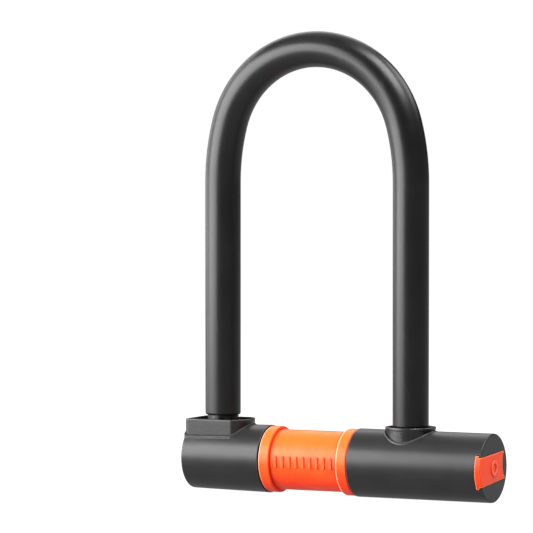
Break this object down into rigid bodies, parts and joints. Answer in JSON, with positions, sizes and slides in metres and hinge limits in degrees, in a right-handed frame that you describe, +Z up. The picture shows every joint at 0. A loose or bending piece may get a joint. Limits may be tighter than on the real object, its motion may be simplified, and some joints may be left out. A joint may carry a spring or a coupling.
{
  "type": "u lock",
  "caption": "U-shaped covered steel shackle that plugs into a keyed crossbar with an orange bracket seat and a sliding keyway dust cover.",
  "frame": {"origin": "on the crossbar axis, in the middle of the orange bracket seat, half way between the shackle legs", "axes": "+Z up along the shackle legs, +X along the crossbar towards the keyed end, -Y is the front the camera sees"},
  "size_m": [0.1746, 0.0366, 0.2448],
  "materials": {
    "shackle_sleeve": "matte black soft vinyl",
    "cover_plastic": "satin black moulded plastic, fine grain",
    "orange_plastic": "satin orange moulded plastic",
    "orange_gloss": "semi-gloss orange moulded plastic",
    "black_steel": "black coated hardened steel",
    "bare_steel": "ground steel",
    "zinc": "die-cast zinc alloy",
    "brass": "machined brass",
    "seal_rubber": "black rubber"
  },
  "bodies": {
    "crossbar": {"crossbar_tube": "bare_steel", "foot_carriers": "zinc", "left_end_plug": "zinc", "left_socket_block": "cover_plastic", "right_collar": "cover_plastic", "foot_seals": "seal_rubber", "left_cover": "cover_plastic", "right_cover": "cover_plastic", "grip_sleeve": "orange_plastic", "dust_cover_stop": "bare_steel", "bar_bushes": "brass", "detent_ball": "bare_steel", "detent_spring": "bare_steel", "cylinder_housing": "zinc", "housing_pin": "bare_steel", "driver_pins": "brass", "pin_springs": "bare_steel"},
    "shackle": {"shackle_rod": "black_steel", "shackle_sleeve": "shackle_sleeve"},
    "bolt": {"locking_bar": "bare_steel", "drive_coupler": "zinc"},
    "plug": {"cylinder_plug": "brass", "plug_clip": "bare_steel", "key_pins": "brass"},
    "dust_slider": {"dust_cover": "orange_gloss"}
  },
  "joints": [
    {"name": "shackle_lift", "type": "slide", "parent": "crossbar", "child": "shackle", "axis": [0, 0, 1], "range_m": [0, 0.045]},
    {"name": "bolt_turn", "type": "hinge", "parent": "crossbar", "child": "bolt", "pos_m": [0, 0, 0], "axis": [1, 0, 0], "range_deg": [0, 90]},
    {"name": "key_turn", "type": "hinge", "parent": "crossbar", "child": "plug", "pos_m": [0.0876, 0, 0], "axis": [1, 0, 0], "range_deg": [0, 90]},
    {"name": "dust_cover_slide", "type": "slide", "parent": "crossbar", "child": "dust_slider", "axis": [0, -0.9976, -0.0698], "range_m": [0, 0.017]}
  ],
  "couplings": [
    {"joint": "key_turn", "follows": "bolt_turn", "ratio": 1}
  ]
}
